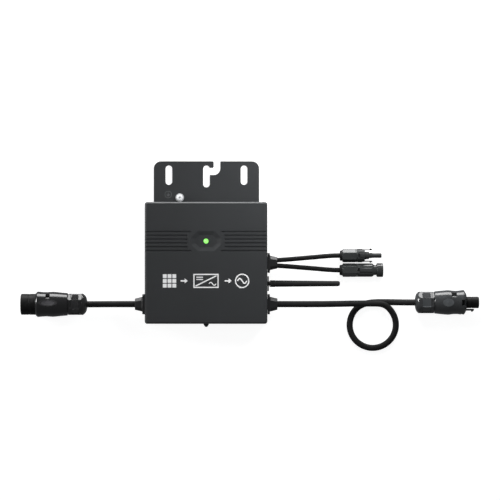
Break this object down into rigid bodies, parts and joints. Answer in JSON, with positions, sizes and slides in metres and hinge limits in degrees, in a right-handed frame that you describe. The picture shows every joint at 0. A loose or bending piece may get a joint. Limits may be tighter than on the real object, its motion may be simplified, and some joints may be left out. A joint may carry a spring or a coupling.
{
  "type": "micro inverter",
  "caption": "Flat module-level solar inverter with slotted rail bracket, indicator, rod antenna, two panel leads and a pluggable AC lead on each side.",
  "frame": {"origin": "on the back face of the mounting plate, under the centre of the housing", "axes": "+Z out of the front cover, +Y towards the rail slots of the bracket, +X towards the panel leads and the antenna"},
  "size_m": [0.6176, 0.257, 0.0344],
  "materials": {
    "housing_coat": "fine-textured satin anthracite powder coat",
    "plate_coat": "fine-textured satin anthracite powder coat",
    "seal_rubber": "matte moulded rubber",
    "bright_steel": "bright zinc-plated steel",
    "green_lens": "lit green polycarbonate",
    "board_laminate": "green solder mask",
    "ferrite": "sintered ferrite",
    "winding_wire": "enamelled copper wire",
    "capacitor_sleeve": "shrink sleeve",
    "component_plastic": "moulded thermoset",
    "gland_plastic": "satin moulded nylon",
    "antenna_rubber": "satin moulded elastomer",
    "cable_jacket": "satin extruded cable jacket",
    "connector_plastic": "glossy moulded polycarbonate blend",
    "contact_metal": "tin-plated copper alloy"
  },
  "bodies": {
    "root": {"ac_cable_left": "cable_jacket", "ac_cable_right": "cable_jacket", "ac_gland_left": "gland_plastic", "ac_gland_right": "gland_plastic", "ac_plug_body": "connector_plastic", "ac_plug_insert": "connector_plastic", "ac_relay": "component_plastic", "ac_socket_body": "connector_plastic", "ac_socket_insert": "connector_plastic", "ac_terminal_block": "component_plastic", "antenna_base": "gland_plastic", "base_plate": "housing_coat", "base_screw_1": "bright_steel", "base_screw_2": "bright_steel", "base_screw_3": "bright_steel", "base_screw_4": "bright_steel", "bulk_capacitor_1": "capacitor_sleeve", "bulk_capacitor_2": "capacitor_sleeve", "comms_board": "board_laminate", "dc_cable_lower": "cable_jacket", "dc_cable_upper": "cable_jacket", "dc_gland": "gland_plastic", "dc_plug_body": "connector_plastic", "dc_socket_body": "connector_plastic", "dc_socket_pin": "contact_metal", "dc_terminal_block": "component_plastic", "film_capacitor": "component_plastic", "filter_choke": "winding_wire", "front_cover": "housing_coat", "housing_gasket": "seal_rubber", "light_pipe": "green_lens", "main_board": "board_laminate", "mounting_plate": "plate_coat", "plate_screw_1": "bright_steel", "plate_screw_2": "bright_steel", "plate_screw_3": "bright_steel", "plate_screw_4": "bright_steel", "power_transistor_1": "component_plastic", "power_transistor_2": "component_plastic", "status_led": "green_lens", "thermal_pad": "seal_rubber", "transformer_core": "ferrite", "transformer_winding": "winding_wire", "vent_plug": "gland_plastic"},
    "ground_washer_body": {"ground_washer": "bright_steel"},
    "ground_screw_body": {"ground_screw": "bright_steel"},
    "antenna_seal_body": {"antenna_seal": "seal_rubber"},
    "antenna_body": {"antenna_collar": "antenna_rubber", "antenna_whip": "antenna_rubber"},
    "ac_socket_seal_body": {"ac_socket_seal": "seal_rubber"},
    "ac_socket_nut_body": {"ac_socket_nut": "connector_plastic"},
    "ac_plug_seal_body": {"ac_plug_seal": "seal_rubber"},
    "ac_plug_nut_body": {"ac_plug_nut": "connector_plastic"},
    "ac_plug_latch_body": {"ac_plug_latch": "connector_plastic"},
    "dc_plug_seal_body": {"dc_plug_seal": "seal_rubber"},
    "dc_plug_nut_body": {"dc_plug_nut": "connector_plastic"},
    "dc_plug_finger_upper_body": {"dc_plug_finger_upper": "connector_plastic"},
    "dc_plug_finger_lower_body": {"dc_plug_finger_lower": "connector_plastic"},
    "dc_socket_seal_body": {"dc_socket_seal": "seal_rubber"},
    "dc_socket_nut_body": {"dc_socket_nut": "connector_plastic"}
  },
  "joints": [
    {"name": "ground_screw_travel", "type": "slide", "parent": "root", "child": "ground_washer_body", "axis": [0, 0, 1], "range_m": [0, 0.0021]},
    {"name": "ground_screw_turn", "type": "hinge", "parent": "ground_washer_body", "child": "ground_screw_body", "pos_m": [-0.0362, 0.0883, 0.003], "axis": [0, 0, 1], "range_deg": [0, 1081]},
    {"name": "antenna_travel", "type": "slide", "parent": "root", "child": "antenna_seal_body", "axis": [1, 0, 0], "range_m": [0, 0.0042]},
    {"name": "antenna_turn", "type": "hinge", "parent": "antenna_seal_body", "child": "antenna_body", "pos_m": [0.0933, -0.0281, 0.0173], "axis": [1, 0, 0], "range_deg": [0, 2161]},
    {"name": "ac_socket_nut_travel", "type": "slide", "parent": "root", "child": "ac_socket_seal_body", "axis": [1, 0, 0], "range_m": [0, 0.0045]},
    {"name": "ac_socket_nut_turn", "type": "hinge", "parent": "ac_socket_seal_body", "child": "ac_socket_nut_body", "pos_m": [-0.1607, -0.056, 0.0173], "axis": [1, 0, 0], "range_deg": [0, 1081]},
    {"name": "ac_plug_nut_travel", "type": "slide", "parent": "root", "child": "ac_plug_seal_body", "axis": [-1, 0, 0], "range_m": [0, 0.0045]},
    {"name": "ac_plug_nut_turn", "type": "hinge", "parent": "ac_plug_seal_body", "child": "ac_plug_nut_body", "pos_m": [0.2818, -0.0535, 0.0173], "axis": [-1, 0, 0], "range_deg": [0, 1081]},
    {"name": "dc_plug_nut_travel", "type": "slide", "parent": "root", "child": "dc_plug_seal_body", "axis": [-1, 0, 0], "range_m": [0, 0.0045]},
    {"name": "dc_plug_nut_turn", "type": "hinge", "parent": "dc_plug_seal_body", "child": "dc_plug_nut_body", "pos_m": [0.1807, 0.0098, 0.0095], "axis": [-1, 0, 0], "range_deg": [0, 1081]},
    {"name": "dc_socket_nut_travel", "type": "slide", "parent": "root", "child": "dc_socket_seal_body", "axis": [-1, 0, 0], "range_m": [0, 0.0045]},
    {"name": "dc_socket_nut_turn", "type": "hinge", "parent": "dc_socket_seal_body", "child": "dc_socket_nut_body", "pos_m": [0.1803, -0.0099, 0.0095], "axis": [-1, 0, 0], "range_deg": [0, 1081]},
    {"name": "ac_plug_latch_flex", "type": "hinge", "parent": "root", "child": "ac_plug_latch_body", "pos_m": [0.345, -0.0633, 0.0173], "axis": [0, 0, 1], "range_deg": [0, 2.5], "stiffness_Nm_per_rad": 0.5},
    {"name": "dc_plug_finger_upper_flex", "type": "hinge", "parent": "root", "child": "dc_plug_finger_upper_body", "pos_m": [0.2123, 0.0175, 0.0095], "axis": [0, 0, -1], "range_deg": [0, 8], "stiffness_Nm_per_rad": 0.1},
    {"name": "dc_plug_finger_lower_flex", "type": "hinge", "parent": "root", "child": "dc_plug_finger_lower_body", "pos_m": [0.2123, 0.0021, 0.0095], "axis": [0, 0, 1], "range_deg": [0, 8], "stiffness_Nm_per_rad": 0.1}
  ],
  "couplings": [
    {"joint": "ground_screw_turn", "follows": "ground_screw_travel", "rad_per_m": 8976},
    {"joint": "antenna_turn", "follows": "antenna_travel", "rad_per_m": 8976},
    {"joint": "ac_socket_nut_turn", "follows": "ac_socket_nut_travel", "rad_per_m": 4188.8},
    {"joint": "ac_plug_nut_turn", "follows": "ac_plug_nut_travel", "rad_per_m": 4188.8},
    {"joint": "dc_plug_nut_turn", "follows": "dc_plug_nut_travel", "rad_per_m": 4188.8},
    {"joint": "dc_socket_nut_turn", "follows": "dc_socket_nut_travel", "rad_per_m": 4188.8}
  ]
}
